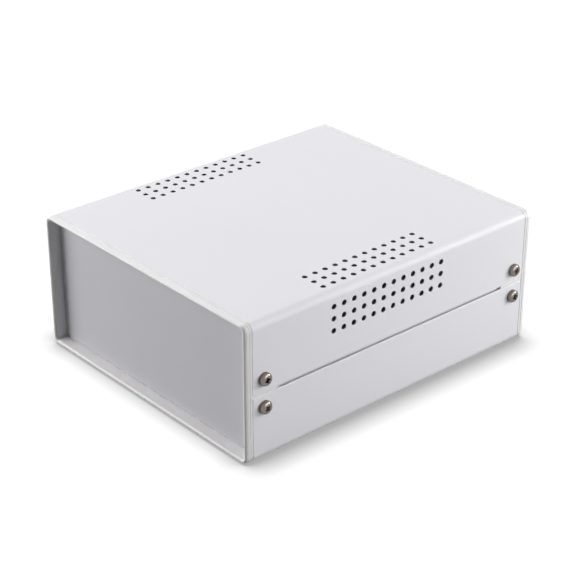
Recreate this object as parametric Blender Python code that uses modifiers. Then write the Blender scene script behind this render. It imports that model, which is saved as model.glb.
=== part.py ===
"""Desktop instrument enclosure: two folded, vented covers screwed to moulded end frames.

The case stands flat on the floor at z = 0 with its middle over the origin. The front is at -Y,
the right-hand side at +X. Every length is in metres.
"""

import math

import bmesh
import bpy
from mathutils import Matrix, Vector

MM = 0.001
QUARTER_TURN = math.pi / 2

# Overall size of the case without the screw heads
WIDTH = 150.0 * MM
DEPTH = 180.0 * MM
HEIGHT = 70.0 * MM

# Gap between two pieces that touch
FIT = 0.3 * MM

# Folded covers
SHEET = 1.2 * MM
BEND_RADIUS = 4.0 * MM
SEAM_HEIGHT = 33.2 * MM
SEAM_GAP = 1.4 * MM

# Vent holes: a block of rows and columns in the top along each side, and one in each side wall
VENT_DIAMETER = 3.2 * MM
VENT_PITCH = 6.11 * MM
VENT_COLUMNS = 12
VENT_ROWS = 3
VENT_START = 50.7 * MM
TOP_VENT_INSET = 6.8 * MM
SIDE_VENT_DROP = 7.8 * MM
SIDE_VENT_SHIFT = 0.6 * MM

# Moulded end frames: bead, groove and band outside, a drafted recess inside
BAND_LENGTH = 3.7 * MM
OUTER_NOSE_RADIUS = 1.6 * MM
NOSE_LAND = 0.1 * MM
GROOVE_LAND = 0.1 * MM
GROOVE_WIDTH = 0.8 * MM
GROOVE_DEPTH = 0.35 * MM
GROOVE_SLOPE = 0.2 * MM
LIP = 2.2 * MM
LEAST_CORNER_RADIUS = 0.8 * MM
RECESS_DEPTH = 6.0 * MM
RECESS_DRAFT = math.radians(5.0)
SKIRT_REACH = 12.0 * MM
SEAT_WIDTH = 4.0 * MM
SEAT_THICKNESS = 2.0 * MM

# Lugs on the sides of the frames, which back the seam and take the cover screws in bosses.
# A rib along each lug fills the seam, just inside the covers' outer faces.
LUG_REACH = 18.5 * MM
LUG_HEIGHT = 26.0 * MM
LUG_WALL = 2.4 * MM
RIB_SINK = 0.3 * MM
BOSS_DIAMETER = 6.6 * MM
BOSS_LENGTH = 8.4 * MM
BOSS_WEB = 1.6 * MM

# Panels, their posts and the corner gussets of the frames that the posts go through
PANEL_THICKNESS = 1.5 * MM
POST_DIAMETER = 4.8 * MM
POST_INSET = 8.5 * MM
GUSSET_SIZE = 10.6 * MM
GUSSET_THICKNESS = 3.4 * MM
GUSSET_ROOT = 0.9 * MM

# Screws: pan heads with a cross recess, threads left plain at their root
HEAD_DIAMETER = 6.5 * MM
HEAD_HEIGHT = 2.4 * MM
HEAD_RIM = 0.9 * MM
CROWN_DIAMETER = 2.9 * MM
SHANK_DIAMETER = 2.4 * MM
SHANK_CLEARANCE = 0.6 * MM
SHANK_POINT = 0.7 * MM
COVER_SCREW_LENGTH = 8.0 * MM
PANEL_SCREW_LENGTH = 4.5 * MM
RECESS_SPAN = 3.8 * MM
RECESS_SLOT = 0.8 * MM
RECESS_SINK = 1.3 * MM
SCREW_INSET = 10.6 * MM
TOP_SCREW_RISE = 6.7 * MM
BOTTOM_SCREW_DROP = 6.1 * MM

# Board pillars pressed into the base
PILLAR_SPACING_X = 110.0 * MM
PILLAR_SPACING_Y = 120.0 * MM
PILLAR_DIAMETER = 6.0 * MM
PILLAR_HEIGHT = 8.0 * MM
PILLAR_BORE = 2.5 * MM
PILLAR_BORE_DEPTH = 6.0 * MM
PILLAR_FOOT_DIAMETER = 4.2 * MM
PILLAR_FOOT_RECESS = 0.1 * MM

# How finely round shapes are divided
CORNER_STEPS = 4
OUTER_NOSE_STEPS = 4
INNER_NOSE_STEPS = 2
BEND_STEPS = 6
CROWN_STEPS = 3
VENT_SIDES = 8
TURNED_SIDES = 12
SMOOTH_ANGLE = math.radians(35.0)

# A cutter runs this far past the faces that it cuts
OVERCUT = 1.0 * MM

# Points of a turned profile closer than this are one point
MERGE_DISTANCE = 0.01 * MM

# Places worked out from the sizes above
HALF_WIDTH = WIDTH / 2
HALF_DEPTH = DEPTH / 2
COVER_START = BAND_LENGTH + FIT
INNER_NOSE_RADIUS = LIP - NOSE_LAND - OUTER_NOSE_RADIUS
GROOVE_START = OUTER_NOSE_RADIUS + GROOVE_LAND
GROOVE_END = GROOVE_START + GROOVE_WIDTH
TOP_EDGE_HEIGHT = SEAM_HEIGHT + SEAM_GAP
SEAM_MIDDLE = SEAM_HEIGHT + SEAM_GAP / 2
SCREW_HEIGHTS = {"top": TOP_EDGE_HEIGHT + TOP_SCREW_RISE, "bottom": SEAM_HEIGHT - BOTTOM_SCREW_DROP}
SKIRT_INSET = SHEET + FIT
LUG_FACE = HALF_WIDTH - SKIRT_INSET - FIT
SEAT_START = RECESS_DEPTH + PANEL_THICKNESS + FIT
GUSSET_START = SEAT_START + FIT
GUSSET_END = GUSSET_START + GUSSET_THICKNESS
THREAD_BORE = SHANK_DIAMETER + SHANK_CLEARANCE
PILLAR_SEAT = SHEET + FIT
ENDS = {"front": -1, "rear": 1}
SIDES = {"left": -1, "right": 1}


def clear_scene():
    for item in list(bpy.data.objects):
        bpy.data.objects.remove(item, do_unlink=True)


def new_collection(name):
    group = bpy.data.collections.new(name)
    bpy.context.scene.collection.children.link(group)
    return group


def new_material(name, colour, roughness, metallic):
    material = bpy.data.materials.new(name)
    material.use_nodes = True
    shader = material.node_tree.nodes["Principled BSDF"]
    shader.inputs["Base Color"].default_value = (*colour, 1.0)
    shader.inputs["Roughness"].default_value = roughness
    shader.inputs["Metallic"].default_value = metallic
    return material


def new_object(name, mesh, group, material=None):
    item = bpy.data.objects.new(name, mesh)
    group.objects.link(item)
    if material:
        mesh.materials.clear()
        mesh.materials.append(material)
    return item


def finish_mesh(name, bm):
    """Turn a closed bmesh into a mesh with its faces pointing out."""
    bmesh.ops.recalc_face_normals(bm, faces=bm.faces)
    mesh = bpy.data.meshes.new(name)
    bm.to_mesh(mesh)
    bm.free()
    return mesh


def shade_round(mesh):
    mesh.shade_smooth()
    mesh.set_sharp_from_angle(angle=SMOOTH_ANGLE)


def add_cylinder(bm, centre, axis, diameter, length, sides=TURNED_SIDES):
    """Add a closed cylinder to a bmesh, centred on a point and along an axis."""
    turn = Vector((0, 0, 1)).rotation_difference(Vector(axis)).to_matrix().to_4x4()
    bmesh.ops.create_cone(
        bm,
        cap_ends=True,
        segments=sides,
        radius1=diameter / 2,
        radius2=diameter / 2,
        depth=length,
        matrix=Matrix.Translation(centre) @ turn,
    )


def add_box(bm, corner, opposite):
    """Add a box to a bmesh between two opposite corners, given in any order."""
    corner, opposite = Vector(corner), Vector(opposite)
    size = [abs(b - a) for a, b in zip(corner, opposite)]
    place = Matrix.Translation((corner + opposite) / 2) @ Matrix.Diagonal((*size, 1))
    bmesh.ops.create_cube(bm, size=1.0, matrix=place)


def add_boolean(target, tool, operation):
    modifier = target.modifiers.new(tool.name, "BOOLEAN")
    modifier.operation = operation
    modifier.object = tool
    modifier.solver = "EXACT"


def new_tool(name, bm, group):
    """A shape that only cuts or joins other pieces."""
    tool = new_object(name, finish_mesh(name, bm), group)
    tool.hide_render = True
    tool.display_type = "WIRE"
    return tool


def cut(target, label, bm, group):
    add_boolean(target, new_tool(f"{target.name}_{label}", bm, group), "DIFFERENCE")


def join(target, label, bm, group):
    add_boolean(target, new_tool(f"{target.name}_{label}", bm, group), "UNION")


def evaluated_mesh(item, name):
    """The mesh of an object with its modifiers applied."""
    graph = bpy.context.evaluated_depsgraph_get()
    mesh = bpy.data.meshes.new_from_object(item.evaluated_get(graph))
    mesh.name = name
    return mesh


def at(end, distance):
    """The Y of a place at a distance inwards from one end of the case."""
    return end * (HALF_DEPTH - distance)


def recess_inset(distance):
    """Inset of the drafted recess wall from the case's outer faces, at a distance from the end."""
    return LIP + (distance - INNER_NOSE_RADIUS) * math.tan(RECESS_DRAFT)


def rounded_outline(inset):
    """Points round the case's end view, inset from its outer faces, as (x, z) pairs."""
    radius = max(BEND_RADIUS - inset, LEAST_CORNER_RADIUS)
    half_x = HALF_WIDTH - inset - radius
    half_z = HEIGHT / 2 - inset - radius
    points = []
    for quarter, (side_x, side_z) in enumerate([(1, 1), (-1, 1), (-1, -1), (1, -1)]):
        for step in range(CORNER_STEPS + 1):
            angle = QUARTER_TURN * (quarter + step / CORNER_STEPS)
            x = side_x * half_x + radius * math.cos(angle)
            z = HEIGHT / 2 + side_z * half_z + radius * math.sin(angle)
            points.append((x, z))
    return points


def loft(bm, end, section, as_ring):
    """Skin the outlines of a section, given as (distance from the end, inset) pairs.

    A ring joins its last outline to the first, and a block has its two ends capped.
    """
    loops = []
    for distance, inset in section:
        y = at(end, distance)
        loops.append([bm.verts.new((x, y, z)) for x, z in rounded_outline(inset)])
    pairs = list(zip(loops, loops[1:]))
    if as_ring:
        pairs.append((loops[-1], loops[0]))
    else:
        bm.faces.new(loops[0])
        bm.faces.new(loops[-1])
    for first, second in pairs:
        for index, corner in enumerate(first):
            following = (index + 1) % len(first)
            bm.faces.new((corner, first[following], second[following], second[index]))


def nose_section():
    """The front edge of a frame, from its tight inner rounding out to its fuller outer one."""
    points = []
    for step in range(INNER_NOSE_STEPS + 1):
        angle = QUARTER_TURN * step / INNER_NOSE_STEPS
        rise = INNER_NOSE_RADIUS * (1 - math.sin(angle))
        points.append((rise, LIP - INNER_NOSE_RADIUS * (1 - math.cos(angle))))
    for step in range(OUTER_NOSE_STEPS + 1):
        angle = QUARTER_TURN * step / OUTER_NOSE_STEPS
        rise = OUTER_NOSE_RADIUS * (1 - math.cos(angle))
        points.append((rise, OUTER_NOSE_RADIUS * (1 - math.sin(angle))))
    return points


def frame_section():
    """Section through a frame's wall, from the inner edge of its lip out, back and round."""
    seat_end = SEAT_START + SEAT_THICKNESS
    seat_wall = recess_inset(SEAT_START)
    return nose_section() + [
        (GROOVE_START, 0.0),
        (GROOVE_START + GROOVE_SLOPE, GROOVE_DEPTH),
        (GROOVE_END - GROOVE_SLOPE, GROOVE_DEPTH),
        (GROOVE_END, 0.0),
        (BAND_LENGTH, 0.0),
        (BAND_LENGTH, SKIRT_INSET),
        (SKIRT_REACH, SKIRT_INSET),
        (SKIRT_REACH, seat_wall),
        (seat_end, seat_wall),
        (seat_end, seat_wall + SEAT_WIDTH),
        (SEAT_START, seat_wall + SEAT_WIDTH),
        (SEAT_START, seat_wall),
    ]


def post_places():
    """Centres of the four panel posts of one end, as (x, z) pairs."""
    for side in SIDES.values():
        for z in (POST_INSET, HEIGHT - POST_INSET):
            yield side * (HALF_WIDTH - POST_INSET), z


def screw_places(height):
    """Centres of the cover screws at one height, with the names of their end and side."""
    for end_name, end in ENDS.items():
        for side_name, side in SIDES.items():
            yield end_name, side_name, side, (side * HALF_WIDTH, at(end, SCREW_INSET), height)


def pillar_places():
    for x in (-PILLAR_SPACING_X / 2, PILLAR_SPACING_X / 2):
        for y in (-PILLAR_SPACING_Y / 2, PILLAR_SPACING_Y / 2):
            yield x, y


def add_lugs(bm, end):
    """A flat lug at each side, from the seat of the frame inwards along the seam."""
    for side in SIDES.values():
        low = SEAM_MIDDLE - LUG_HEIGHT / 2
        high = SEAM_MIDDLE + LUG_HEIGHT / 2
        root = at(end, SEAT_START + SEAT_THICKNESS / 2)
        add_box(bm, (side * LUG_FACE, root, low), (side * (LUG_FACE - LUG_WALL), at(end, LUG_REACH), high))


def add_ribs(bm, end):
    """A rib along the middle of each lug, from the band to the lug's end, between the covers' edges."""
    root = at(end, (GROOVE_END + BAND_LENGTH) / 2)
    for side in SIDES.values():
        corner = (side * (HALF_WIDTH - RIB_SINK), root, SEAM_HEIGHT + FIT)
        opposite = (side * (LUG_FACE - LUG_WALL / 2), at(end, LUG_REACH), TOP_EDGE_HEIGHT - FIT)
        add_box(bm, corner, opposite)


def add_gussets(bm, end):
    """A square block in each corner of the frame, behind the seat."""
    outer = SKIRT_INSET + GUSSET_ROOT
    inner = outer + GUSSET_SIZE
    for side in SIDES.values():
        for edge, inwards in ((0.0, 1), (HEIGHT, -1)):
            corner = (side * (HALF_WIDTH - outer), at(end, GUSSET_START), edge + inwards * outer)
            opposite = (side * (HALF_WIDTH - inner), at(end, GUSSET_END), edge + inwards * inner)
            add_box(bm, corner, opposite)


def add_bosses(bm, end):
    """A round boss behind each cover screw, trimmed flat where it meets the seat."""
    for height in SCREW_HEIGHTS.values():
        for side in SIDES.values():
            middle = side * (LUG_FACE - FIT - BOSS_LENGTH / 2)
            add_cylinder(bm, (middle, at(end, SCREW_INSET), height), (1, 0, 0), BOSS_DIAMETER, BOSS_LENGTH)
    trimmed = bmesh.ops.bisect_plane(
        bm,
        geom=bm.verts[:] + bm.edges[:] + bm.faces[:],
        plane_co=(0, at(end, GUSSET_START), 0),
        plane_no=(0, end, 0),
        clear_outer=True,
    )
    rim = [item for item in trimmed["geom_cut"] if isinstance(item, bmesh.types.BMEdge)]
    bmesh.ops.holes_fill(bm, edges=rim)


def add_webs(bm, end):
    """A thin web that ties the two bosses of one side together."""
    for side in SIDES.values():
        outer = side * (LUG_FACE - LUG_WALL / 2)
        inner = side * (LUG_FACE - BOSS_LENGTH)
        near = at(end, SCREW_INSET - BOSS_WEB / 2)
        far = at(end, SCREW_INSET + BOSS_WEB / 2)
        add_box(bm, (outer, near, SCREW_HEIGHTS["bottom"]), (inner, far, SCREW_HEIGHTS["top"]))


def add_frame_holes(bm, end):
    """Bores for the cover screws' threads, and clearance holes for the panel's posts."""
    for height in SCREW_HEIGHTS.values():
        for side in SIDES.values():
            middle = (side * (LUG_FACE - BOSS_LENGTH / 2), at(end, SCREW_INSET), height)
            add_cylinder(bm, middle, (1, 0, 0), THREAD_BORE, BOSS_LENGTH + 2 * OVERCUT)
    depth = at(end, (GUSSET_START + GUSSET_END) / 2)
    for x, z in post_places():
        add_cylinder(bm, (x, depth, z), (0, 1, 0), POST_DIAMETER + 2 * FIT, GUSSET_THICKNESS + 2 * OVERCUT)


def build_frame(name, end, group, tools, material):
    """A moulded ring with corner gussets for the panel's posts and a screw lug at each side."""
    bm = bmesh.new()
    loft(bm, end, frame_section(), as_ring=True)
    frame = new_object(name, finish_mesh(name, bm), group, material)
    for label, add_shapes in (
        ("lugs", add_lugs),
        ("ribs", add_ribs),
        ("gussets", add_gussets),
        ("bosses", add_bosses),
        ("webs", add_webs),
    ):
        bm = bmesh.new()
        add_shapes(bm, end)
        join(frame, label, bm, tools)
    bm = bmesh.new()
    add_frame_holes(bm, end)
    cut(frame, "holes", bm, tools)


def build_panel(name, end, group, tools, material):
    """A flat plate with four short posts on its hidden face, bored for the panel screws."""
    edge = recess_inset(SEAT_START) + FIT
    bm = bmesh.new()
    loft(bm, end, [(RECESS_DEPTH, edge), (RECESS_DEPTH + PANEL_THICKNESS, edge)], as_ring=False)
    panel = new_object(name, finish_mesh(name, bm), group, material)

    post_start = RECESS_DEPTH + PANEL_THICKNESS / 2
    post_end = GUSSET_END - FIT
    bm = bmesh.new()
    for x, z in post_places():
        middle = at(end, (post_start + post_end) / 2)
        add_cylinder(bm, (x, middle, z), (0, 1, 0), POST_DIAMETER, post_end - post_start)
    join(panel, "posts", bm, tools)

    bore_start = GUSSET_END - PANEL_SCREW_LENGTH
    bore_end = post_end + OVERCUT
    bm = bmesh.new()
    for x, z in post_places():
        middle = at(end, (bore_start + bore_end) / 2)
        add_cylinder(bm, (x, middle, z), (0, 1, 0), THREAD_BORE, bore_end - bore_start)
    cut(panel, "bores", bm, tools)


def build_cover(name, edge_height, level, group, material):
    """A sheet folded to a channel, with its flat web at the given level and its edges at the other."""
    way = 1 if level > edge_height else -1
    outline = [(HALF_WIDTH, edge_height)]
    for side in (1, -1):
        for step in range(BEND_STEPS + 1):
            angle = QUARTER_TURN * (step if side > 0 else BEND_STEPS - step) / BEND_STEPS
            x = side * (HALF_WIDTH - BEND_RADIUS + BEND_RADIUS * math.cos(angle))
            z = level - way * BEND_RADIUS * (1 - math.sin(angle))
            outline.append((x, z))
    outline.append((-HALF_WIDTH, edge_height))

    length = DEPTH - 2 * COVER_START
    bm = bmesh.new()
    corners = [bm.verts.new((x, -length / 2, z)) for x, z in outline]
    folds = [bm.edges.new(pair) for pair in zip(corners, corners[1:])]
    drawn = bmesh.ops.extrude_edge_only(bm, edges=folds)["geom"]
    far = [item for item in drawn if isinstance(item, bmesh.types.BMVert)]
    bmesh.ops.translate(bm, verts=far, vec=(0, length, 0))
    for face in bm.faces:
        face.normal_update()
    web = max(bm.faces, key=lambda face: face.calc_area())
    if web.normal.z * way < 0:
        bmesh.ops.reverse_faces(bm, faces=bm.faces)
    mesh = bpy.data.meshes.new(name)
    bm.to_mesh(mesh)
    bm.free()
    cover = new_object(name, mesh, group, material)
    wall = cover.modifiers.new("wall", "SOLIDIFY")
    wall.thickness = SHEET
    wall.offset = -1.0
    wall.use_even_offset = True
    return cover


def cut_screw_holes(cover, height, tools):
    diameter = THREAD_BORE + SHANK_CLEARANCE
    bm = bmesh.new()
    for _, _, side, (x, y, z) in screw_places(height):
        add_cylinder(bm, (x - side * SHEET / 2, y, z), (1, 0, 0), diameter, SHEET + 2 * OVERCUT)
    cut(cover, "screw_holes", bm, tools)


def cut_vents(cover, tools):
    """Punch the vent blocks: rows through both side walls, and rows along both sides of the top."""
    columns = [-HALF_DEPTH + VENT_START + column * VENT_PITCH for column in range(VENT_COLUMNS)]
    rows = [row * VENT_PITCH for row in range(VENT_ROWS)]
    bm = bmesh.new()
    for y in columns:
        for row in rows:
            middle = (0, y + SIDE_VENT_SHIFT, HEIGHT - SIDE_VENT_DROP - row)
            add_cylinder(bm, middle, (1, 0, 0), VENT_DIAMETER, WIDTH + 2 * OVERCUT, VENT_SIDES)
    cut(cover, "side_vents", bm, tools)
    bm = bmesh.new()
    for y in columns:
        for row in rows:
            for side in SIDES.values():
                middle = (side * (HALF_WIDTH - TOP_VENT_INSET - row), y, HEIGHT - SHEET / 2)
                add_cylinder(bm, middle, (0, 0, 1), VENT_DIAMETER, SHEET + 2 * OVERCUT, VENT_SIDES)
    cut(cover, "top_vents", bm, tools)


def cut_pillar_holes(cover, tools):
    diameter = PILLAR_FOOT_DIAMETER + 2 * FIT
    bm = bmesh.new()
    for x, y in pillar_places():
        add_cylinder(bm, (x, y, SHEET / 2), (0, 0, 1), diameter, SHEET + 2 * OVERCUT)
    cut(cover, "pillar_holes", bm, tools)


def turned_object(name, profile, group):
    """Turn a profile of (radius, height) points about Z. It starts and ends on the axis."""
    bm = bmesh.new()
    points = [bm.verts.new((radius, 0, height)) for radius, height in profile]
    for pair in zip(points, points[1:]):
        bm.edges.new(pair)
    mesh = bpy.data.meshes.new(name)
    bm.to_mesh(mesh)
    bm.free()
    item = new_object(name, mesh, group)
    turn = item.modifiers.new("turn", "SCREW")
    turn.steps = TURNED_SIDES
    turn.render_steps = TURNED_SIDES
    turn.use_merge_vertices = True
    turn.merge_threshold = MERGE_DISTANCE
    return item


def screw_profile(length):
    """Half section of a pan-head screw, from the middle of its crown down to its point."""
    head, crown, shank = HEAD_DIAMETER / 2, CROWN_DIAMETER / 2, SHANK_DIAMETER / 2
    profile = [(0.0, HEAD_HEIGHT)]
    for step in range(CROWN_STEPS + 1):
        angle = QUARTER_TURN * step / CROWN_STEPS
        radius = crown + (head - crown) * math.sin(angle)
        profile.append((radius, HEAD_RIM + (HEAD_HEIGHT - HEAD_RIM) * math.cos(angle)))
    return profile + [(head, 0.0), (shank, 0.0), (shank, SHANK_POINT - length), (0.0, -length)]


def screw_mesh(name, length, group, material):
    """A pan-head screw along Z, its head's underside at z = 0 and its shank below."""
    blank = turned_object(name, screw_profile(length), group)
    for label, span, slot in (("wing_x", RECESS_SPAN, RECESS_SLOT), ("wing_y", RECESS_SLOT, RECESS_SPAN)):
        bm = bmesh.new()
        floor = (-span / 2, -slot / 2, HEAD_HEIGHT - RECESS_SINK)
        add_box(bm, floor, (span / 2, slot / 2, HEAD_HEIGHT + OVERCUT))
        cut(blank, label, bm, group)
    mesh = evaluated_mesh(blank, name)
    for tool in [modifier.object for modifier in blank.modifiers if modifier.type == "BOOLEAN"]:
        bpy.data.objects.remove(tool, do_unlink=True)
    bpy.data.objects.remove(blank, do_unlink=True)
    mesh.materials.clear()
    mesh.materials.append(material)
    shade_round(mesh)
    return mesh


def place_screw(name, mesh, place, direction, group):
    """Put a screw with its head pointing in a direction, its seat just clear of a face."""
    item = new_object(name, mesh, group)
    way = Vector(direction)
    turn = Vector((0, 0, 1)).rotation_difference(way).to_matrix().to_4x4()
    item.matrix_world = Matrix.Translation(Vector(place) + way * FIT) @ turn


def build_pillars(group, tools, material):
    """Round pillars with a threaded bore, standing on the base with a foot pressed into it."""
    top = PILLAR_SEAT + PILLAR_HEIGHT
    bore, body, foot = PILLAR_BORE / 2, PILLAR_DIAMETER / 2, PILLAR_FOOT_DIAMETER / 2
    profile = [
        (0.0, top - PILLAR_BORE_DEPTH),
        (bore, top - PILLAR_BORE_DEPTH),
        (bore, top),
        (body, top),
        (body, PILLAR_SEAT),
        (foot, PILLAR_SEAT),
        (foot, PILLAR_FOOT_RECESS),
        (0.0, PILLAR_FOOT_RECESS),
    ]
    blank = turned_object("pillar", profile, tools)
    mesh = evaluated_mesh(blank, "board_pillar")
    bpy.data.objects.remove(blank, do_unlink=True)
    mesh.materials.append(material)
    shade_round(mesh)
    for number, (x, y) in enumerate(pillar_places(), start=1):
        pillar = new_object(f"board_pillar_{number}", mesh, group)
        pillar.location = (x, y, 0)


def main():
    clear_scene()
    parts = new_collection("instrument_enclosure")
    tools = new_collection("cutters")
    paint = new_material("cover_paint", (0.80, 0.80, 0.83), 0.45, 0.0)
    plastic = new_material("frame_plastic", (0.76, 0.745, 0.735), 0.40, 0.0)
    panel_plastic = new_material("panel_plastic", (0.62, 0.62, 0.65), 0.38, 0.0)
    nickel = new_material("screw_nickel", (0.26, 0.23, 0.21), 0.18, 1.0)
    steel = new_material("pillar_steel", (0.66, 0.66, 0.68), 0.30, 1.0)

    top_cover = build_cover("top_cover", TOP_EDGE_HEIGHT, HEIGHT, parts, paint)
    cut_vents(top_cover, tools)
    cut_screw_holes(top_cover, SCREW_HEIGHTS["top"], tools)
    bottom_cover = build_cover("bottom_cover", SEAM_HEIGHT, 0.0, parts, paint)
    cut_screw_holes(bottom_cover, SCREW_HEIGHTS["bottom"], tools)
    cut_pillar_holes(bottom_cover, tools)

    panel_screw = screw_mesh("panel_screw", PANEL_SCREW_LENGTH, tools, nickel)
    for end_name, end in ENDS.items():
        build_frame(f"{end_name}_frame", end, parts, tools, plastic)
        build_panel(f"{end_name}_panel", end, parts, tools, panel_plastic)
        for number, (x, z) in enumerate(post_places(), start=1):
            name = f"{end_name}_panel_screw_{number}"
            place_screw(name, panel_screw, (x, at(end, GUSSET_END), z), (0, -end, 0), parts)

    cover_screw = screw_mesh("cover_screw", COVER_SCREW_LENGTH, tools, nickel)
    for cover_name, height in SCREW_HEIGHTS.items():
        for end_name, side_name, side, place in screw_places(height):
            name = f"{cover_name}_screw_{end_name}_{side_name}"
            place_screw(name, cover_screw, place, (side, 0, 0), parts)

    build_pillars(parts, tools, steel)


main()
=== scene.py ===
import math

import bmesh
import bpy
from mathutils import Matrix, Vector


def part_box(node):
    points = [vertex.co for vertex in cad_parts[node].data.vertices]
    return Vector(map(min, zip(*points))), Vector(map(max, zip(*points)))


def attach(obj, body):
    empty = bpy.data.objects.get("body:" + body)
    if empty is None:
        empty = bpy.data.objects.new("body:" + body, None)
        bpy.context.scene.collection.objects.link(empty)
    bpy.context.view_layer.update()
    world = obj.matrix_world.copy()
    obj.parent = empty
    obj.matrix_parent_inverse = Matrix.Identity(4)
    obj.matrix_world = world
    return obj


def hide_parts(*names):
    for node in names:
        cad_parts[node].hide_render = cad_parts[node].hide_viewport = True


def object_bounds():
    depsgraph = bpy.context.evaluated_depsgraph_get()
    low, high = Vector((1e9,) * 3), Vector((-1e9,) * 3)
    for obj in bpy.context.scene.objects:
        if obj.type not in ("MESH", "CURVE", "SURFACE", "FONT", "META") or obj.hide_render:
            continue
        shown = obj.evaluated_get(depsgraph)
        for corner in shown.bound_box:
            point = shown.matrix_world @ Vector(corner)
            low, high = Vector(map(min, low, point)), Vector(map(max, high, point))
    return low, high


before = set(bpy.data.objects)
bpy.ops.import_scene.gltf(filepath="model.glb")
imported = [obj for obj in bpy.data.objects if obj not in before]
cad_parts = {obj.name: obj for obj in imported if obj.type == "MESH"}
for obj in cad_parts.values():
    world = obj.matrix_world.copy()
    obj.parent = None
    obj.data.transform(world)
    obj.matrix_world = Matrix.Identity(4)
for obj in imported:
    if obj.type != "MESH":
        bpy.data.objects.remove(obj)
case_low, case_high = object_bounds()

# The bottom cover is one steel sheet, punched flat and folded up at both sides, with a strip
# welded inside each side that stands up behind the seam. Its outside and cut edges are powder
# coated light grey. Its inside is painted near black as painted shade, for the shade inside the
# case. Four screws hold it to the frames.
mm = 0.001
sheet = 1.2 * mm
bend_radius = 4.0 * mm
bend_facets = 18
coated_edge = 0.45 * mm
punched_edge = 0.25 * mm
edge_facets = 3
square_edge = math.radians(60)
smooth_up_to = math.radians(38)
weld_within = 0.0002 * mm
hole_facets = 32
screw_hole_radius = 1.8 * mm
pillar_hole_radius = 2.4 * mm
strip_rise = 4.0 * mm
strip_end = 18.55 * mm
strip_set_back = 0.6 * mm
strip_thickness = 0.7 * mm
strip_weld = 0.15 * mm
cover_colour = (0.790, 0.790, 0.826)
# Painted shade: near black for the inside faces of the covers and the walls of their holes.
inside_shade_colour = (0.12, 0.12, 0.13)
paint_peel = 0.7 * mm
paint_peel_depth = 0.006 * mm


def placed(name, bm):
    """An object at the origin, made from a bmesh."""
    mesh = bpy.data.meshes.new(name)
    bm.to_mesh(mesh)
    bm.free()
    item = bpy.data.objects.new(name, mesh)
    bpy.context.scene.collection.objects.link(item)
    return item


def add_block(bm, corner, opposite):
    """Add a box between two opposite corners, given in any order, and return its vertices."""
    corner, opposite = Vector(corner), Vector(opposite)
    size = [abs(b - a) for a, b in zip(corner, opposite)]
    place = Matrix.Translation((corner + opposite) / 2) @ Matrix.Diagonal((*size, 1))
    return bmesh.ops.create_cube(bm, size=1.0, matrix=place)["verts"]


def turned(profile, facets):
    """Turn a profile of (radius, height) points about Z. It starts and ends on the axis."""
    bm = bmesh.new()
    points = [bm.verts.new((radius, 0, height)) for radius, height in profile]
    line = [bm.edges.new(pair) for pair in zip(points, points[1:])]
    bmesh.ops.spin(
        bm,
        geom=points + line,
        cent=(0, 0, 0),
        axis=(0, 0, 1),
        angle=math.tau,
        steps=facets,
        use_merge=True,
    )
    bmesh.ops.remove_doubles(bm, verts=bm.verts, dist=weld_within)
    bmesh.ops.recalc_face_normals(bm, faces=bm.faces)
    return bm


def pointing(place, direction):
    """The transform that takes a shape along Z to a place and a direction."""
    turn = Vector((0, 0, 1)).rotation_difference(Vector(direction)).to_matrix().to_4x4()
    return Matrix.Translation(place) @ turn


def copies(shape, transforms):
    """One bmesh with a copy of a shape at each transform."""
    mesh = bpy.data.meshes.new("copied")
    shape.to_mesh(mesh)
    shape.free()
    bm = bmesh.new()
    for transform in transforms:
        older = len(bm.verts)
        bm.from_mesh(mesh)
        bm.verts.ensure_lookup_table()
        bmesh.ops.transform(bm, matrix=transform, verts=bm.verts[older:])
    bpy.data.meshes.remove(mesh)
    return bm


def work(item, operation, label, bm):
    """Cut a shape from an object, or join it on, with a Boolean that settle() makes final."""
    tool = placed(f"{item.name}_{label}", bm)
    for material in item.data.materials:
        tool.data.materials.append(material)
    step = item.modifiers.new(label, "BOOLEAN")
    step.operation = operation
    step.solver = "EXACT"
    step.object = tool


def settle(item):
    """Make an object's modifiers final, weld its mesh, and smooth its round faces alone."""
    tools = [step.object for step in item.modifiers if step.type == "BOOLEAN"]
    graph = bpy.context.evaluated_depsgraph_get()
    mesh = bpy.data.meshes.new_from_object(item.evaluated_get(graph))
    mesh.name = item.name
    item.modifiers.clear()
    item.data = mesh
    for tool in tools:
        bpy.data.objects.remove(tool)
    bm = bmesh.new()
    bm.from_mesh(mesh)
    bmesh.ops.remove_doubles(bm, verts=bm.verts, dist=weld_within)
    bmesh.ops.dissolve_degenerate(bm, edges=bm.edges, dist=weld_within)
    bm.to_mesh(mesh)
    bm.free()
    mesh.shade_smooth()
    mesh.set_sharp_from_angle(angle=smooth_up_to)
    flat = item.modifiers.new("flat_faces", "WEIGHTED_NORMAL")
    flat.keep_sharp = True
    return item


def folded_sheet(name, low, high, open_way):
    """A sheet folded to a channel inside a box, open upwards (1) or downwards (-1)."""
    bm = bmesh.new()
    add_block(bm, low, high)
    bm.normal_update()
    open_faces = [f for f in bm.faces if abs(f.normal.y) > 0.5 or f.normal.z * open_way > 0.5]
    bmesh.ops.delete(bm, geom=open_faces, context="FACES")
    folds = [edge for edge in bm.edges if len(edge.link_faces) == 2]
    bmesh.ops.bevel(
        bm,
        geom=folds,
        offset=bend_radius,
        offset_type="OFFSET",
        segments=bend_facets,
        profile=0.5,
        affect="EDGES",
        material=-1,
    )
    cover = placed(name, bm)
    cover.data.materials.append(powder_coat)
    # The second material is near black, painted shade for the covers' inside faces.
    cover.data.materials.append(painted_inside_shade)
    wall = cover.modifiers.new("wall", "SOLIDIFY")
    # The inside face of the sheet takes the near-black painted shade.
    wall.material_offset = 1
    wall.thickness = sheet
    wall.offset = -1.0
    wall.use_even_offset = True
    coat = cover.modifiers.new("coat", "BEVEL")
    coat.width = coated_edge
    coat.segments = edge_facets
    coat.limit_method = "ANGLE"
    coat.angle_limit = square_edge
    return cover


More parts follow.
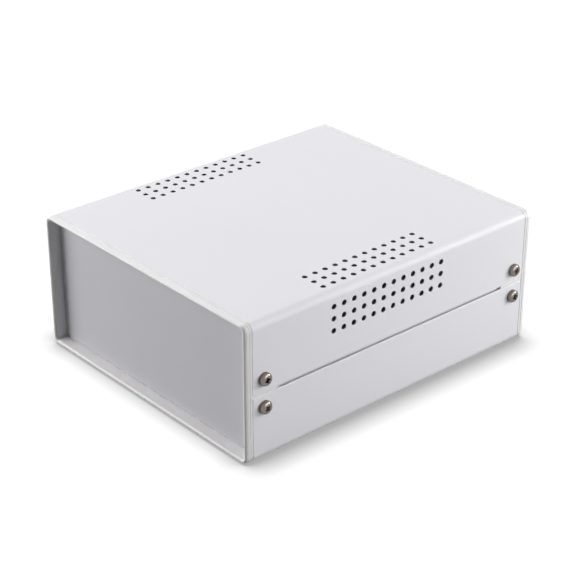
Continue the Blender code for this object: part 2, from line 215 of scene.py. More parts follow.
def punch(radius):
    """A punch along Z whose shoulder rounds the edge of its hole at z = 0.

    The hole's wall takes the second, near-black material: painted shade for the dark holes.
    """
    shoulder = radius + punched_edge
    profile = [(0.0, sheet), (shoulder, sheet), (shoulder, 0.0)]
    for step in range(1, edge_facets + 1):
        angle = math.radians(90) * step / edge_facets
        profile.append((shoulder - punched_edge * math.sin(angle), punched_edge * (math.cos(angle) - 1)))
    profile += [(radius, -2 * sheet), (0.0, -2 * sheet)]
    bm = turned(profile, hole_facets)
    for face in bm.faces:
        if face.calc_center_median().z < -punched_edge:
            # Painted shade on the hole's wall.
            face.material_index = 1
    return bm


def effect(name, takes, gives):
    """A shader node group with named inputs and one named output, and its two end nodes."""
    group = bpy.data.node_groups.new(name, "ShaderNodeTree")
    for label, kind, value in takes:
        socket = group.interface.new_socket(name=label, in_out="INPUT", socket_type=kind)
        if value is not None:
            socket.default_value = value
    group.interface.new_socket(name=gives[0], in_out="OUTPUT", socket_type=gives[1])
    return group, group.nodes.new("NodeGroupInput"), group.nodes.new("NodeGroupOutput")


def add_noise(tree, vector, scale, detail):
    """A noise texture whose vector and scale come from two sockets."""
    noise = tree.nodes.new("ShaderNodeTexNoise")
    noise.inputs["Detail"].default_value = detail
    tree.links.new(vector, noise.inputs["Vector"])
    tree.links.new(scale, noise.inputs["Scale"])
    return noise.outputs["Fac"]


def make_shade_drift():
    """A colour that drifts a little lighter and darker over the surface."""
    takes = [
        ("Colour", "NodeSocketColor", None),
        ("Vector", "NodeSocketVector", None),
        ("Scale", "NodeSocketFloat", 12.0),
        ("Amount", "NodeSocketFloat", 0.02),
    ]
    group, given, made = effect("shade_drift", takes, ("Colour", "NodeSocketColor"))
    noise = add_noise(group, given.outputs["Vector"], given.outputs["Scale"], 3.0)
    swing = group.nodes.new("ShaderNodeMath")
    swing.operation = "MULTIPLY_ADD"
    centred = group.nodes.new("ShaderNodeMath")
    centred.operation = "SUBTRACT"
    centred.inputs[1].default_value = 0.5
    group.links.new(noise, centred.inputs[0])
    group.links.new(centred.outputs[0], swing.inputs[0])
    group.links.new(given.outputs["Amount"], swing.inputs[1])
    swing.inputs[2].default_value = 1.0
    shade = group.nodes.new("ShaderNodeVectorMath")
    shade.operation = "SCALE"
    group.links.new(given.outputs["Colour"], shade.inputs[0])
    group.links.new(swing.outputs[0], shade.inputs["Scale"])
    group.links.new(shade.outputs[0], made.inputs["Colour"])
    return group


def make_sheen_drift():
    """A roughness that wanders between two values, as handled or moulded surfaces have."""
    takes = [
        ("Vector", "NodeSocketVector", None),
        ("Scale", "NodeSocketFloat", 40.0),
        ("Smoothest", "NodeSocketFloat", 0.3),
        ("Roughest", "NodeSocketFloat", 0.4),
    ]
    group, given, made = effect("sheen_drift", takes, ("Roughness", "NodeSocketFloat"))
    noise = add_noise(group, given.outputs["Vector"], given.outputs["Scale"], 4.0)
    spread = group.nodes.new("ShaderNodeMapRange")
    spread.inputs["From Min"].default_value = 0.3
    spread.inputs["From Max"].default_value = 0.7
    group.links.new(noise, spread.inputs["Value"])
    group.links.new(given.outputs["Smoothest"], spread.inputs["To Min"])
    group.links.new(given.outputs["Roughest"], spread.inputs["To Max"])
    group.links.new(spread.outputs["Result"], made.inputs["Roughness"])
    return group


def make_surface_grain():
    """The fine relief of a coated, moulded or plated surface: a wave with a finer grain on it."""
    takes = [
        ("Vector", "NodeSocketVector", None),
        ("Wave Scale", "NodeSocketFloat", 1500.0),
        ("Grain Scale", "NodeSocketFloat", 6000.0),
        ("Grain Share", "NodeSocketFloat", 0.3),
    ]
    group, given, made = effect("surface_grain", takes, ("Height", "NodeSocketFloat"))
    wave = add_noise(group, given.outputs["Vector"], given.outputs["Wave Scale"], 1.0)
    grain = add_noise(group, given.outputs["Vector"], given.outputs["Grain Scale"], 2.0)
    blend = group.nodes.new("ShaderNodeMix")
    group.links.new(given.outputs["Grain Share"], blend.inputs["Factor"])
    group.links.new(wave, blend.inputs["A"])
    group.links.new(grain, blend.inputs["B"])
    group.links.new(blend.outputs["Result"], made.inputs["Height"])
    return group


effects = {"shade": make_shade_drift(), "sheen": make_sheen_drift(), "grain": make_surface_grain()}


def add_effect(material, kind, **values):
    """Place an effect in a material, on its object coordinates, with its own values."""
    tree = material.node_tree
    node = tree.nodes.new("ShaderNodeGroup")
    node.node_tree = effects[kind]
    for label, value in values.items():
        node.inputs[label.replace("_", " ")].default_value = value
    tree.links.new(tree.nodes["Texture Coordinate"].outputs["Object"], node.inputs["Vector"])
    return node


def finish(name, colour, drift, sheen, grain, depth, metallic=0.0):
    """A finish with drifting shade and sheen and a fine relief.

    drift is (scale, amount), sheen (smoothest, roughest), and grain (wave, grain, share), with
    the sizes of the relief in metres.
    """
    material = bpy.data.materials.new(name)
    material.use_nodes = True
    tree = material.node_tree
    tree.nodes.new("ShaderNodeTexCoord")
    shader = tree.nodes["Principled BSDF"]
    shader.inputs["Metallic"].default_value = metallic
    shade = add_effect(material, "shade", Colour=(*colour, 1.0), Scale=drift[0], Amount=drift[1])
    tree.links.new(shade.outputs["Colour"], shader.inputs["Base Color"])
    gloss = add_effect(material, "sheen", Smoothest=sheen[0], Roughest=sheen[1])
    tree.links.new(gloss.outputs["Roughness"], shader.inputs["Roughness"])
    wave, fine, share = grain
    relief = add_effect(material, "grain", Wave_Scale=1 / wave, Grain_Scale=1 / fine, Grain_Share=share)
    bump = tree.nodes.new("ShaderNodeBump")
    bump.inputs["Distance"].default_value = depth
    tree.links.new(relief.outputs["Height"], bump.inputs["Height"])
    tree.links.new(bump.outputs["Normal"], shader.inputs["Normal"])
    return material


def dress(item, material, slot, *nodes):
    """Give a piece its finish, if it has none, and let it stand for its CAD nodes on the body."""
    if not item.data.materials:
        item.data.materials.append(material)
    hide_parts(*nodes)
    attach(item, "root")


powder_coat = finish(
    "powder_coat",
    cover_colour,
    drift=(14.0, 0.03),
    sheen=(0.36, 0.44),
    grain=(paint_peel, 0.15 * mm, 0.25),
    depth=paint_peel_depth,
)
# Painted shade: a near-black finish for the covers' insides and hole walls, standing in for the shade
# there.
painted_inside_shade = finish(
    "painted_inside_shade",
    inside_shade_colour,
    drift=(60.0, 0.10),
    sheen=(0.60, 0.72),
    grain=(0.5 * mm, 0.1 * mm, 0.5),
    depth=0.004 * mm,
)

end_y = case_high.y
case_height = case_high.z
half_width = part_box("top_cover")[1].x
seam_low, seam_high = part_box("bottom_cover")[1].z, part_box("top_cover")[0].z
screw_heights = {}
screw_ends = {}
for height_name in ("top", "bottom"):
    low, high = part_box(f"{height_name}_screw_front_right")
    screw_heights[height_name] = (low.z + high.z) / 2
for end_name in ("front", "rear"):
    low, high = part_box(f"top_screw_{end_name}_right")
    screw_ends[end_name] = (low.y + high.y) / 2
pillar_places = []
for number in (1, 2, 3, 4):
    low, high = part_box(f"board_pillar_{number}")
    pillar_places.append(Vector(((low.x + high.x) / 2, (low.y + high.y) / 2, 0)))


def punch_screw_holes(cover, height):
    """Punch the four screw holes of one cover, two in each of its side walls."""
    places = []
    for side in (-1, 1):
        for y in screw_ends.values():
            places.append(pointing((side * half_width, y, height), (side, 0, 0)))
    work(cover, "DIFFERENCE", "screw_holes", copies(punch(screw_hole_radius), places))


def seam_strips(set_back, head):
    """A bar inside each side wall, from well below the seam up to a height."""
    bm = bmesh.new()
    wall, reach = half_width - sheet, end_y - strip_end
    foot = seam_low - 2 * strip_rise
    inner = wall - strip_set_back - strip_thickness
    for side in (-1, 1):
        add_block(bm, (side * (wall - set_back), -reach, foot), (side * inner, reach, head))
    return bm


bottom_cover = folded_sheet("bottom_cover_sheet", *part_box("bottom_cover"), 1)
work(bottom_cover, "UNION", "strip_feet", seam_strips(-strip_weld, seam_low - strip_rise))
work(bottom_cover, "UNION", "seam_strips", seam_strips(strip_set_back, seam_high + strip_rise))
punch_screw_holes(bottom_cover, screw_heights["bottom"])
pillar_holes = [pointing(place, (0, 0, -1)) for place in pillar_places]
work(bottom_cover, "DIFFERENCE", "pillar_holes", copies(punch(pillar_hole_radius), pillar_holes))
settle(bottom_cover)
dress(bottom_cover, powder_coat, "cover_paint", "bottom_cover")

# The board pillars are turned from steel bar, threaded M3 and plated. The foot of each is pressed
# into a hole in the base and sits just inside its underside. A circuit board would be screwed to
# their tops.
pillar_low, pillar_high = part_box("board_pillar_1")
pillar_radius = (pillar_high.x - pillar_low.x) / 2
pillar_foot_radius = 2.1 * mm
pillar_chamfer = 0.3 * mm
pillar_lift = 0.02 * mm
foot_chamfer = 0.1 * mm
mouth_depth = 0.4 * mm
thread_pitch = 0.5 * mm
thread_crest = 1.47 * mm
thread_core = 1.17 * mm
thread_flat = 0.1
thread_join = 0.002 * mm
pillar_bore_depth = 6.0 * mm
turned_facets = 48
steel_colour = (0.66, 0.66, 0.68)


def threaded_rod(low, high):
    """A closed rod along Z with a helical thread, cut flat at two heights."""
    turns = math.ceil((high - low) / thread_pitch) + 2
    bm = bmesh.new()
    points = []
    for turn in range(turns):
        start = low + (turn - 1.5) * thread_pitch
        points.append(bm.verts.new((thread_core, 0, start)))
        points.append(bm.verts.new((thread_crest, 0, start + (0.5 - thread_flat / 2) * thread_pitch)))
        points.append(bm.verts.new((thread_crest, 0, start + (0.5 + thread_flat / 2) * thread_pitch)))
    line = [bm.edges.new(pair) for pair in zip(points, points[1:])]
    facets = turned_facets // 2
    bmesh.ops.spin(
        bm,
        geom=points + line,
        cent=(0, 0, 0),
        axis=(0, 0, 1),
        dvec=(0, 0, thread_pitch / facets),
        angle=math.tau,
        steps=facets,
        use_merge=False,
    )
    bmesh.ops.remove_doubles(bm, verts=bm.verts, dist=thread_join)
    for height, way in ((low, -1), (high, 1)):
        everything = bm.verts[:] + bm.edges[:] + bm.faces[:]
        trimmed = bmesh.ops.bisect_plane(
            bm,
            geom=everything,
            plane_co=(0, 0, height),
            plane_no=(0, 0, way),
            clear_outer=True,
        )
        rim = [item for item in trimmed["geom_cut"] if isinstance(item, bmesh.types.BMEdge)]
        bmesh.ops.edgeloop_fill(bm, edges=rim)
    bmesh.ops.recalc_face_normals(bm, faces=bm.faces)
    return bm


zinc_plate = finish(
    "zinc_plate",
    steel_colour,
    drift=(300.0, 0.12),
    sheen=(0.22, 0.36),
    grain=(0.4 * mm, 0.08 * mm, 0.5),
    depth=0.003 * mm,
    metallic=1.0,
)
pillar_top = pillar_high.z
pillar_profile = [
    (0.0, pillar_top),
    (pillar_radius - pillar_chamfer, pillar_top),
    (pillar_radius, pillar_top - pillar_chamfer),
    (pillar_radius, sheet + pillar_chamfer),
    (pillar_radius - pillar_chamfer, sheet + pillar_lift),
    (pillar_foot_radius, sheet + pillar_lift),
    (pillar_foot_radius, pillar_low.z + foot_chamfer),
    (pillar_foot_radius - foot_chamfer, pillar_low.z),
    (0.0, pillar_low.z),
]
for number, place in enumerate(pillar_places, start=1):
    at_place = Matrix.Translation(place)
    body = copies(turned(pillar_profile, turned_facets), [at_place])
    pillar = placed(f"turned_board_pillar_{number}", body)
    bore = threaded_rod(pillar_top - pillar_bore_depth, pillar_top + sheet)
    work(pillar, "DIFFERENCE", "thread", copies(bore, [at_place]))
    mouth = [
        (0.0, pillar_top + sheet),
        (thread_crest + sheet, pillar_top + sheet),
        (thread_core, pillar_top - mouth_depth),
        (0.0, pillar_top - mouth_depth),
    ]
    work(pillar, "DIFFERENCE", "mouth", copies(turned(mouth, turned_facets), [at_place]))
    settle(pillar)
    dress(pillar, zinc_plate, "pillar_steel", f"board_pillar_{number}")

# The front and rear frames are one moulding each, in satin ABS of a warmer grey than the paint.
# Outside they show a rounded bead, a shallow groove and a band flush with the covers. Inside,
# drafted walls lead to the panel's seat, with corner gussets and lugs that carry the screws.
lip = 2.2 * mm
bead_across = 1.05 * mm
bead_along = 2.3 * mm
bead_inner_radius = 1.1 * mm
bead_steps = 9
groove_start = 2.35 * mm
groove_width = 0.5 * mm
groove_depth = 0.18 * mm
groove_steps = 8
moulded_edge = 0.15 * mm
moulded_taper = 0.02 * mm
moulded_facets = 4
hairline = 0.05 * mm
least_corner = 0.8 * mm
recess_draft = math.radians(5)
skirt_reach = 12.0 * mm
seat_start = 7.8 * mm
seat_thickness = 2.0 * mm
seat_width = 4.0 * mm
corner_facets = 10
lug_reach = 18.5 * mm
lug_height = 26.0 * mm
lug_wall = 2.4 * mm
lug_corner = 2.5 * mm
boss_radius = 3.3 * mm
boss_length = 8.4 * mm
boss_web = 1.6 * mm
gusset_start = 8.1 * mm
gusset_thickness = 3.4 * mm
gusset_size = 10.6 * mm
gusset_root = 0.9 * mm
post_inset = 8.5 * mm
post_radius = 2.4 * mm
fit = 0.3 * mm
screw_bore_radius = 1.5 * mm
rib_sink = 0.3 * mm
frame_colour = (0.800, 0.785, 0.790)
seam_height = (seam_low + seam_high) / 2
band_length = end_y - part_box("top_cover")[1].y - hairline
skirt_inset = sheet + hairline


def at(end, distance):
    """The Y of a place at a distance inwards from the front (-1) or rear (1) end."""
    return end * (end_y - distance)


def wall_inset(distance):
    """Inset of the drafted recess wall at a distance from the end."""
    return lip + (distance - bead_inner_radius) * math.tan(recess_draft)


def add_outline(bm, y, inset):
    """Add a loop round the case, inset from its faces, with its corners rounded by a bevel."""
    older = set(bm.edges)
    right, top, bottom = half_width - inset, case_height - inset, inset
    places = ((right, top), (-right, top), (-right, bottom), (right, bottom))
    corners = [bm.verts.new((x, y, z)) for x, z in places]
    for number, corner in enumerate(corners):
        bm.edges.new((corner, corners[number - 1]))
    bmesh.ops.bevel(
        bm,
        geom=corners,
        offset=max(bend_radius - inset, least_corner),
        offset_type="OFFSET",
        segments=corner_facets,
        profile=0.5,
        affect="VERTICES",
        material=-1,
    )
    return [edge for edge in bm.edges if edge not in older]


def bead_section():
    """The rounded edge of the frame, from the recess round to the outside."""
    inner, outer = [], []
    for step in range(bead_steps + 1):
        angle = math.radians(90) * step / bead_steps
        rise, fall = 1 - math.sin(angle), 1 - math.cos(angle)
        inner.append((bead_inner_radius * rise + moulded_taper, lip - bead_inner_radius * fall))
        outer.append((bead_along * fall, bead_across * rise))
    return inner + outer


def groove_section():
    """The round-bottomed groove behind the bead."""
    points = []
    for step in range(groove_steps + 1):
        angle = math.pi * step / groove_steps
        along = groove_start + groove_width * (1 - math.cos(angle)) / 2
        points.append((along, groove_depth * math.sin(angle)))
    return points


def frame_section():
    """Section of the frame's wall as (distance from the end, inset) points, back to its start.

    The faces that run across the wall taper a little, so that no two outlines lie in one plane.
    """
    seat_end = seat_start + seat_thickness
    wall = wall_inset(seat_start)
    soft, taper = moulded_edge, moulded_taper
    return bead_section() + groove_section() + [
        (band_length - soft, 0.0),
        (band_length, soft),
        (band_length - taper, skirt_inset),
        (skirt_reach - soft, skirt_inset),
        (skirt_reach, skirt_inset + soft),
        (skirt_reach - taper, wall),
        (seat_end, wall),
        (seat_end - taper, wall + seat_width),
        (seat_start + taper, wall + seat_width),
        (seat_start, wall),
    ]


def frame_ring(end):
    """The frame's wall, bridged from outline to outline round its section."""
    bm = bmesh.new()
    loops = [add_outline(bm, at(end, distance), inset) for distance, inset in frame_section()]
    for number, loop in enumerate(loops):
        bmesh.ops.bridge_loops(bm, edges=loops[number - 1] + loop)
    bmesh.ops.recalc_face_normals(bm, faces=bm.faces)
    return bm


def soften(bm, verts, along, radius):
    """Round the edges of a box that run along one axis."""
    edges = {edge for vert in verts for edge in vert.link_edges}
    wanted = [e for e in edges if abs((e.verts[0].co - e.verts[1].co).normalized()[along]) > 0.99]
    bmesh.ops.bevel(
        bm,
        geom=wanted,
        offset=radius,
        offset_type="OFFSET",
        segments=moulded_facets,
        profile=0.5,
        affect="EDGES",
        material=-1,
    )


def frame_lugs(end):
    """A flat lug at each side, from the seat inwards along the seam."""
    bm = bmesh.new()
    outer = half_width - skirt_inset
    root = at(end, seat_start + seat_thickness / 2)
    low, high = seam_height - lug_height / 2, seam_height + lug_height / 2
    for side in (-1, 1):
        corner = (side * outer, root, low)
        opposite = (side * (outer - lug_wall), at(end, lug_reach), high)
        soften(bm, add_block(bm, corner, opposite), 0, lug_corner)
    return bm


def frame_ribs(end):
    """A rib along each lug, from the band to the lug's end, that fills the seam."""
    bm = bmesh.new()
    root = at(end, (groove_start + groove_width + band_length) / 2)
    outer = half_width - rib_sink
    for side in (-1, 1):
        corner = (side * outer, root, seam_low + hairline)
        opposite = (side * (outer - lug_wall), at(end, lug_reach), seam_high - hairline)
        soften(bm, add_block(bm, corner, opposite), 1, moulded_edge)
    return bm


def frame_gussets(end):
    """A square block in each corner, behind the seat."""
    bm = bmesh.new()
    outer = skirt_inset + gusset_root
    inner = outer + gusset_size
    near, far = at(end, gusset_start), at(end, gusset_start + gusset_thickness)
    for side in (-1, 1):
        for edge, inwards in ((0.0, 1), (case_height, -1)):
            corner = (side * (half_width - outer), near, edge + inwards * outer)
            opposite = (side * (half_width - inner), far, edge + inwards * inner)
            soften(bm, add_block(bm, corner, opposite), 1, least_corner)
    return bm


def frame_bosses(end):
    """A round boss behind each cover screw, trimmed flat at the seat."""
    middle = half_width - skirt_inset - fit - boss_length / 2
    places = []
    for side in (-1, 1):
        for height in screw_heights.values():
            places.append(pointing((side * middle, end * abs(screw_ends["front"]), height), (side, 0, 0)))
    half = boss_length / 2
    rim = boss_radius - moulded_edge
    boss = [(0.0, half), (rim, half), (boss_radius, half - moulded_edge)]
    boss += [(boss_radius, moulded_edge - half), (rim, -half), (0.0, -half)]
    bm = copies(turned(boss, turned_facets), places)
    trimmed = bmesh.ops.bisect_plane(
        bm,
        geom=bm.verts[:] + bm.edges[:] + bm.faces[:],
        plane_co=(0, at(end, gusset_start), 0),
        plane_no=(0, end, 0),
        clear_outer=True,
    )
    rim_edges = [item for item in trimmed["geom_cut"] if isinstance(item, bmesh.types.BMEdge)]
    bmesh.ops.holes_fill(bm, edges=rim_edges)
    return bm


def frame_webs(end):
    """A thin web that ties the two bosses of one side together."""
    bm = bmesh.new()
    outer = half_width - skirt_inset
    middle = end * abs(screw_ends["front"])
    for side in (-1, 1):
        corner = (side * (outer - lug_wall / 2), middle - boss_web / 2, screw_heights["bottom"])
        add_block(bm, corner, (side * (outer - boss_length), middle + boss_web / 2, screw_heights["top"]))
    return bm


def post_places(end, distance):
    """The middles of the four panel posts of one end, at a distance from that end."""
    places = []
    for side in (-1, 1):
        for z in (post_inset, case_height - post_inset):
            places.append(Vector((side * (half_width - post_inset), at(end, distance), z)))
    return places


def rod_profile(radius, length):
    """Half section of a plain rod along Z, centred on the origin."""
    return [(0.0, length / 2), (radius, length / 2), (radius, -length / 2), (0.0, -length / 2)]


satin_abs = finish(
    "satin_abs",
    frame_colour,
    drift=(30.0, 0.05),
    sheen=(0.34, 0.44),
    grain=(0.35 * mm, 0.09 * mm, 0.5),
    depth=0.004 * mm,
)
for end_name, end in (("front", -1), ("rear", 1)):
    end_frame = placed(f"moulded_{end_name}_frame", frame_ring(end))
    work(end_frame, "UNION", "lugs", frame_lugs(end))
    work(end_frame, "UNION", "ribs", frame_ribs(end))
    work(end_frame, "UNION", "gussets", frame_gussets(end))
    work(end_frame, "UNION", "bosses", frame_bosses(end))
    work(end_frame, "UNION", "webs", frame_webs(end))
    bores = []
    for side in (-1, 1):
        for height in screw_heights.values():
            bore_place = (side * (half_width - boss_length / 2), end * abs(screw_ends["front"]), height)
            bores.append(pointing(bore_place, (1, 0, 0)))
    bore = turned(rod_profile(screw_bore_radius, 2 * boss_length), hole_facets)
    work(end_frame, "DIFFERENCE", "bores", copies(bore, bores))
    hole = turned(rod_profile(post_radius + fit, 3 * gusset_thickness), hole_facets)
    middles = post_places(end, gusset_start + gusset_thickness / 2)
    work(end_frame, "DIFFERENCE", "post_holes", copies(hole, [pointing(m, (0, 1, 0)) for m in middles]))
    settle(end_frame)
    dress(end_frame, satin_abs, "frame_plastic", f"{end_name}_frame")

# The front and rear panels are flat moulded plates in a cooler grey, left blank for the maker's
# controls. Each is dropped into its frame from outside, and its four posts go through the
# gussets, where screws hold them from inside.
panel_depth = 6.0 * mm
panel_thickness = 1.5 * mm
panel_edge = 0.25 * mm
panel_colour = (0.600, 0.600, 0.632)
post_end = gusset_start + gusset_thickness - fit
panel_screw_length = 4.5 * mm


def panel_plate(end):
    """The plate, a rounded outline drawn back to its thickness, with its edges softened."""
    bm = bmesh.new()
    edge = wall_inset(panel_depth + panel_thickness) + hairline
    outline = add_outline(bm, at(end, panel_depth), edge)
    bmesh.ops.edgeloop_fill(bm, edges=outline)
    drawn = bmesh.ops.extrude_face_region(bm, geom=bm.faces[:], use_keep_orig=True)["geom"]
    moved = [item for item in drawn if isinstance(item, bmesh.types.BMVert)]
    bmesh.ops.translate(bm, verts=moved, vec=(0, -end * panel_thickness, 0))
    bmesh.ops.recalc_face_normals(bm, faces=bm.faces)
    rims = [e for e in bm.edges if e.calc_face_angle(0) > square_edge]
    bmesh.ops.bevel(
        bm,
        geom=rims,
        offset=panel_edge,
        offset_type="OFFSET",
        segments=edge_facets,
        profile=0.5,
        affect="EDGES",
        material=-1,
    )
    return bm


satin_panel = finish(
    "satin_panel",
    panel_colour,
    drift=(18.0, 0.04),
    sheen=(0.36, 0.46),
    grain=(0.30 * mm, 0.08 * mm, 0.5),
    depth=0.004 * mm,
)
for end_name, end in (("front", -1), ("rear", 1)):
    panel = placed(f"flat_{end_name}_panel", panel_plate(end))
    post_start = panel_depth + panel_thickness / 2
    post = turned(rod_profile(post_radius, post_end - post_start), hole_facets)
    middles = post_places(end, (post_start + post_end) / 2)
    work(panel, "UNION", "posts", copies(post, [pointing(m, (0, 1, 0)) for m in middles]))
    bore = turned(rod_profile(screw_bore_radius, panel_screw_length), hole_facets)
    middles = post_places(end, post_end + fit - panel_screw_length / 2)
    work(panel, "DIFFERENCE", "bores", copies(bore, [pointing(m, (0, 1, 0)) for m in middles]))
    settle(panel)
    dress(panel, satin_panel, "panel_plastic", f"{end_name}_panel")

# The top cover is folded from the same coated sheet as the base. A block of round vent holes is
# punched along each side of its top and one in each side wall, before it is folded. Its edge stops
# just above the bottom cover's, so the seam shows the strips behind it.
vent_radius = 1.35 * mm
vent_pitch = 6.11 * mm
vent_columns = 12
vent_rows = 3
vent_start = 50.7 * mm
top_vent_inset = 6.8 * mm
side_vent_drop = 7.8 * mm
side_vent_shift = 0.6 * mm


def vent_places():
    """The vents' transforms, those of the two side walls and then those of the top."""
    walls, top = [], []
    for column in range(vent_columns):
        y = case_low.y + vent_start + column * vent_pitch
        for row in range(vent_rows):
            for side in (-1, 1):
                height = case_height - side_vent_drop - row * vent_pitch
                walls.append(pointing((side * half_width, y + side_vent_shift, height), (side, 0, 0)))
                x = side * (half_width - top_vent_inset - row * vent_pitch)
                top.append(pointing((x, y, case_height), (0, 0, 1)))
    return walls, top


# Its inside faces and the walls of its vents take the near-black painted shade.
top_cover = folded_sheet("top_cover_sheet", *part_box("top_cover"), -1)
wall_vents, top_vents = vent_places()
work(top_cover, "DIFFERENCE", "wall_vents", copies(punch(vent_radius), wall_vents))
work(top_cover, "DIFFERENCE", "top_vents", copies(punch(vent_radius), top_vents))
punch_screw_holes(top_cover, screw_heights["top"])
settle(top_cover)
dress(top_cover, powder_coat, "cover_paint", "top_cover")

# The screws are nickel-plated steel pan heads with a cross recess, pressed in shape and with a
# rolled M3 thread. Their colour is nickel darkened well below plating, a painted reflection of
# dark surroundings. Longer ones go through the covers into the frames' bosses, and shorter ones
# hold the panels' posts from inside.
head_radius = 3.25 * mm
head_height = 2.4 * mm
head_rim = 0.9 * mm
crown_radius = 1.45 * mm
crown_rise = 0.10 * mm
rim_round = 0.14 * mm
dome_steps = 7
shank_radius = 1.2 * mm
shank_point = 0.7 * mm
seat_gap = fit - 0.02 * mm
cover_screw_length = 8.0 * mm
recess_span = 4.4 * mm
recess_slot = 1.0 * mm
recess_sink = 1.7 * mm
recess_core = 0.95 * mm
wing_taper = (0.42, 0.8, 1.0)
core_taper = 0.45
# Nickel darkened far below real plating: painted reflection of dark surroundings in the heads.
painted_reflection_nickel_colour = (0.20, 0.175, 0.16)


def screw_profile(length):
    """Half section from the middle of the crown, down the head and shank to the point."""
    top = head_height - crown_rise
    profile = [(0.0, head_height), (crown_radius / 2, head_height - crown_rise / 4), (crown_radius, top)]
    for step in range(1, dome_steps + 1):
        angle = math.radians(90) * step / dome_steps
        out = crown_radius + (head_radius - crown_radius) * math.sin(angle)
        profile.append((out, head_rim + (top - head_rim) * math.cos(angle)))
    return profile + [
        (head_radius, rim_round - seat_gap),
        (head_radius - rim_round, -seat_gap),
        (shank_radius, -seat_gap),
        (shank_radius, shank_point - length),
        (shank_radius / 4, -length),
        (0.0, -length),
    ]


def recess_wing(along_x):
    """One wing of the cross, narrower and thinner towards its floor."""
    bm = bmesh.new()
    half_span, half_slot = recess_span / 2, recess_slot / 2
    wing = add_block(bm, (-half_span, -half_slot, -recess_sink), (half_span, half_slot, recess_sink))
    floor = [vert for vert in wing if vert.co.z < 0]
    bmesh.ops.scale(bm, vec=wing_taper, verts=floor)
    if not along_x:
        bmesh.ops.rotate(bm, verts=bm.verts, matrix=Matrix.Rotation(math.radians(90), 3, "Z"))
    bmesh.ops.translate(bm, verts=bm.verts, vec=(0, 0, head_height))
    return bm


def make_screw(name, length, transform):
    """A finished screw, turned along Z and then moved to its place."""
    blank = placed(name, turned(screw_profile(length), turned_facets))
    work(blank, "UNION", "thread", threaded_rod(shank_point - length, -2 * thread_pitch))
    work(blank, "DIFFERENCE", "wing_x", recess_wing(True))
    work(blank, "DIFFERENCE", "wing_y", recess_wing(False))
    core = [
        (0.0, head_height + recess_sink),
        (2 * recess_core, head_height + recess_sink),
        (recess_core * core_taper, head_height - recess_sink),
        (0.0, head_height - recess_sink),
    ]
    work(blank, "DIFFERENCE", "core", turned(core, turned_facets // 2))
    settle(blank)
    blank.data.transform(transform)
    return blank


# Real nickel plate in gloss, with its colour darkened as a painted dark reflection.
nickel_plate = finish(
    "nickel_plate",
    painted_reflection_nickel_colour,
    drift=(400.0, 0.10),
    sheen=(0.12, 0.20),
    grain=(0.5 * mm, 0.12 * mm, 0.4),
    depth=0.004 * mm,
    metallic=1.0,
)
cross_turns = {"top_front": 12, "bottom_front": 38, "top_rear": 64, "bottom_rear": 20}
panel_cross_turn = 31
for height_name, height in screw_heights.items():
    for end_name, y in screw_ends.items():
        for side_name, side in (("left", -1), ("right", 1)):
            turn = Matrix.Rotation(math.radians(side * cross_turns[f"{height_name}_{end_name}"]), 4, "Z")
            place = pointing((side * (half_width + fit), y, height), (side, 0, 0)) @ turn
            node = f"{height_name}_screw_{end_name}_{side_name}"
            screw = make_screw(f"pan_head_{node}", cover_screw_length, place)
            dress(screw, nickel_plate, "screw_nickel", node)
for end_name, end in (("front", -1), ("rear", 1)):
    seats = post_places(end, gusset_start + gusset_thickness + fit)
    for number, seat in enumerate(seats, start=1):
        turn = Matrix.Rotation(math.radians(panel_cross_turn * number), 4, "Z")
        place = pointing(seat, (0, -end, 0)) @ turn
        node = f"{end_name}_panel_screw_{number}"
        screw = make_screw(f"pan_head_{node}", panel_screw_length, place)
        dress(screw, nickel_plate, "screw_nickel", node)

# The case stands on a wide sheet of white paper. The camera sees the paper at its white, with the
# narrow soft shadow that the case has in even studio light, and the case itself gets only the
# paper's plain bounce.
paper_size = 8.0
paper_drop = 0.1 * mm
paper_bounce = (0.22, 0.22, 0.22)
paper_lit_share = 0.10
paper_near_white = 0.37
paper_far_white = 0.98
shadow_reach = 17.0 * mm
least_open = 0.5


def seen_directly(tree):
    """1 for camera, glossy and transmission rays, which see a background at its white."""
    path = tree.nodes.new("ShaderNodeLightPath")
    seen = path.outputs["Is Camera Ray"]
    for label in ("Is Glossy Ray", "Is Transmission Ray"):
        either = tree.nodes.new("ShaderNodeMath")
        either.operation = "MAXIMUM"
        tree.links.new(seen, either.inputs[0])
        tree.links.new(path.outputs[label], either.inputs[1])
        seen = either.outputs[0]
    return seen


def paper_material():
    """White paper that shows shadows, and lights the case as a plain pale floor does."""
    material = bpy.data.materials.new("white_paper")
    material.use_nodes = True
    tree = material.node_tree
    tree.nodes.clear()
    shown = tree.nodes.new("ShaderNodeBsdfDiffuse")
    shown.inputs["Color"].default_value = (paper_lit_share,) * 3 + (1.0,)
    near = tree.nodes.new("ShaderNodeAmbientOcclusion")
    near.inputs["Distance"].default_value = shadow_reach
    white = tree.nodes.new("ShaderNodeMapRange")
    white.inputs["From Min"].default_value = least_open
    white.inputs["To Min"].default_value = paper_near_white
    white.inputs["To Max"].default_value = paper_far_white
    tree.links.new(near.outputs["AO"], white.inputs["Value"])
    glow = tree.nodes.new("ShaderNodeEmission")
    tree.links.new(white.outputs["Result"], glow.inputs["Strength"])
    both = tree.nodes.new("ShaderNodeAddShader")
    tree.links.new(shown.outputs[0], both.inputs[0])
    tree.links.new(glow.outputs[0], both.inputs[1])
    bounce = tree.nodes.new("ShaderNodeBsdfDiffuse")
    bounce.inputs["Color"].default_value = (*paper_bounce, 1.0)
    choose = tree.nodes.new("ShaderNodeMixShader")
    tree.links.new(seen_directly(tree), choose.inputs["Fac"])
    tree.links.new(bounce.outputs[0], choose.inputs[1])
    tree.links.new(both.outputs[0], choose.inputs[2])
    result = tree.nodes.new("ShaderNodeOutputMaterial")
    tree.links.new(choose.outputs[0], result.inputs["Surface"])
    return material


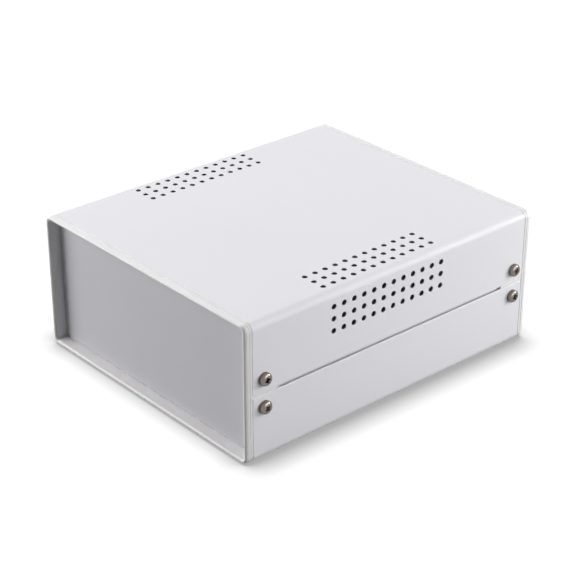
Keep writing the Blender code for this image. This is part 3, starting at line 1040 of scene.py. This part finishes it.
paper_bm = bmesh.new()
bmesh.ops.create_grid(paper_bm, x_segments=1, y_segments=1, size=paper_size / 2)
bmesh.ops.translate(paper_bm, verts=paper_bm.verts, vec=(0, 0, -paper_drop))
paper = placed("paper_floor", paper_bm)
paper.data.materials.append(paper_material())

# Studio light: a soft lamp overhead to the left, three at the right that run along the side wall,
# a wide one at the front left for the panel, and a weak low one in front. The room is dim. Each
# lamp has its place, its width and its power.
room_light = 0.01
lamps = {
    "overhead_left": ((-0.45, 0.05, 1.00), 0.70, 6.4),
    "front_low": ((-0.35, -1.05, 0.40), 0.70, 0.35),
    "right_rear": ((0.75, 0.55, 0.50), 0.90, 3.5),
    "right_low": ((0.60, 0.12, 0.15), 0.40, 1.3),
    "right_strip": ((0.42, 0.52, 0.22), 0.22, 1.6),
    "front_left": ((-0.85, -0.75, 0.40), 0.80, 12.1),
}


def add_lamp(name, place, size, power):
    """A square soft lamp that faces the case and that the camera doesn't see."""
    light = bpy.data.lights.new(name, "AREA")
    light.shape = "SQUARE"
    light.size = size
    light.energy = power
    lamp = bpy.data.objects.new(name, light)
    bpy.context.scene.collection.objects.link(lamp)
    lamp.location = place
    lamp.rotation_mode = "QUATERNION"
    aim = Vector((0, 0, case_height / 2)) - Vector(place)
    lamp.rotation_quaternion = aim.to_track_quat("-Z", "Y")
    lamp.visible_camera = False


for lamp_name, (lamp_place, lamp_size, lamp_power) in lamps.items():
    add_lamp(lamp_name, lamp_place, lamp_size, lamp_power)

room = bpy.data.worlds.new("room")
bpy.context.scene.world = room
room.use_nodes = True
room_tree = room.node_tree
background = room_tree.nodes["Background"]
background.inputs["Color"].default_value = (1.0, 1.0, 1.0, 1.0)
level = room_tree.nodes.new("ShaderNodeMapRange")
level.inputs["To Min"].default_value = room_light
level.inputs["To Max"].default_value = 1.0
room_tree.links.new(seen_directly(room_tree), level.inputs["Value"])
room_tree.links.new(level.outputs["Result"], background.inputs["Strength"])

# The camera stands at the front right and looks down on the case through a long lens. Its place
# and turn were worked out from the grids of vent holes.
camera_place = (0.5666, -0.4934, 0.4203)
camera_turn = math.radians(48.98)
camera_dip = math.radians(27.52)
camera_lens = 107.52
camera_film = 36.0
camera_data = bpy.data.cameras.new("camera")
camera_data.lens = camera_lens
camera_data.sensor_width = camera_film
camera = bpy.data.objects.new("camera", camera_data)
bpy.context.scene.collection.objects.link(camera)
camera.location = camera_place
towards = Vector((-math.sin(camera_turn), math.cos(camera_turn), -math.tan(camera_dip)))
camera.rotation_mode = "QUATERNION"
camera.rotation_quaternion = towards.to_track_quat("-Z", "Y")
camera_data.clip_start = 0.05
camera_data.clip_end = 30.0
bpy.context.scene.camera = camera
bpy.context.scene.view_settings.view_transform = "Standard"
